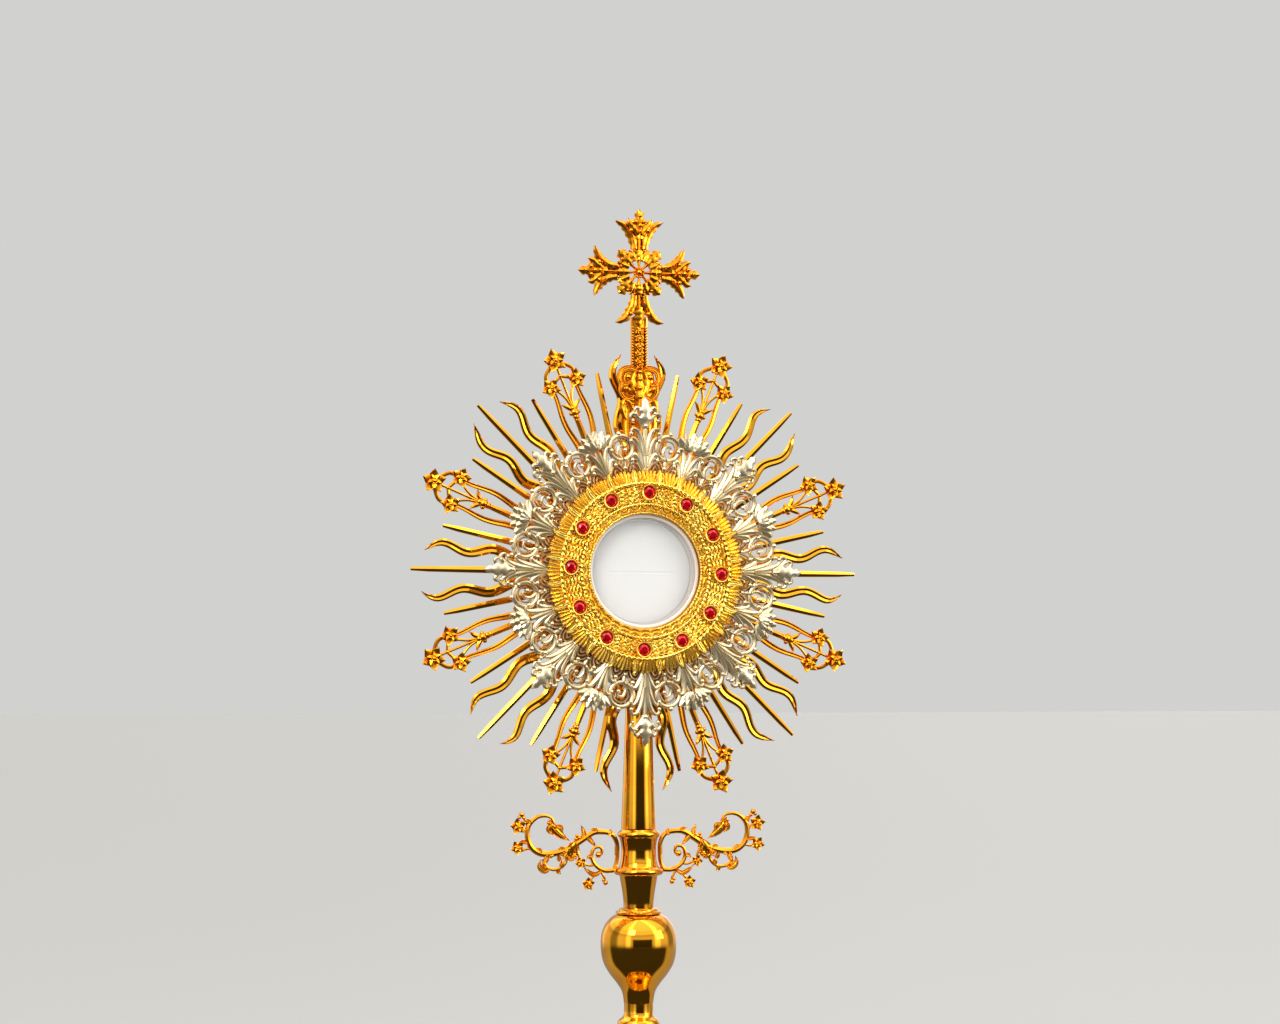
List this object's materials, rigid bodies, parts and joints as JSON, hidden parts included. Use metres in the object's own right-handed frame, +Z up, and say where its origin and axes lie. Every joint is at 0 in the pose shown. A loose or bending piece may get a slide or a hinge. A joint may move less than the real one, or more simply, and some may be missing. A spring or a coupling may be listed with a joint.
{
  "type": "monstrance",
  "caption": "Sunburst monstrance: a round domed foot, a turned stem with scroll arms, and rays, flowers and a cross round a gem-set glazed case that holds a luna behind a hinged rear door.",
  "frame": {"origin": "middle of the foot on the table, under the stem", "axes": "+Z up along the stem, the front with the stones faces -Y, +X to the right as seen from the front"},
  "size_m": [0.32, 0.184, 0.6792],
  "materials": {
    "gold": "polished gold plate",
    "chased_gold": "chased and polished gold plate",
    "silver": "polished silver with dark recesses",
    "plain_brass": "plain turned brass",
    "red_stone": "faceted red stone",
    "clear_glass": "clear flat glass",
    "clear_rim": "clear moulded rim",
    "wafer": "matt white wafer",
    "felt": "green felt"
  },
  "bodies": {
    "stand": {"felt_pad": "felt", "base_plate": "plain_brass", "foot_rim": "gold", "base_dome": "gold", "tie_rod": "plain_brass", "tie_rod_nut": "plain_brass", "lower_stem": "gold", "knop": "gold", "knop_cap": "gold", "neck": "gold", "collar": "gold", "scroll_arm_right": "gold", "scroll_arm_left": "gold", "upper_stem": "gold", "sun_socket": "gold", "case_ring": "gold", "back_plate": "gold", "ray_fan_1": "gold", "flower_spray_1": "gold", "ray_fan_2": "gold", "flower_spray_2": "gold", "ray_fan_3": "gold", "flower_spray_3": "gold", "ray_fan_4": "gold", "flower_spray_4": "gold", "ray_fan_5": "gold", "flower_spray_5": "gold", "ray_fan_6": "gold", "flower_spray_6": "gold", "ray_fan_7": "gold", "flower_spray_7": "gold", "ray_fan_8": "gold", "flower_spray_8": "gold", "filigree_ring": "silver", "leaf_crown": "chased_gold", "gem_bezel": "chased_gold", "gem_01": "red_stone", "gem_02": "red_stone", "gem_03": "red_stone", "gem_04": "red_stone", "gem_05": "red_stone", "gem_06": "red_stone", "gem_07": "red_stone", "gem_08": "red_stone", "gem_09": "red_stone", "gem_10": "red_stone", "gem_11": "red_stone", "gem_12": "red_stone", "front_glass": "clear_glass", "crown_mount": "gold", "cross": "gold"},
    "door": {"door_frame": "gold", "door_glass": "clear_glass", "luna_socket": "gold", "hinge_pin": "plain_brass"},
    "luna": {"luna_band": "clear_rim", "luna_front": "clear_glass", "luna_rear": "clear_glass", "host": "wafer"},
    "latch": {"latch_button": "gold"}
  },
  "joints": [
    {"name": "door_hinge", "type": "hinge", "parent": "stand", "child": "door", "pos_m": [0.053, 0.0142, 0.431], "axis": [0, 0, -1], "range_deg": [0, 115]},
    {"name": "luna_lift", "type": "slide", "parent": "door", "child": "luna", "axis": [0, 0, 1], "range_m": [0, 0.004]},
    {"name": "latch_turn", "type": "hinge", "parent": "stand", "child": "latch", "pos_m": [-0.052, 0.0138, 0.431], "axis": [0, 1, 0], "range_deg": [0, 90]}
  ]
}
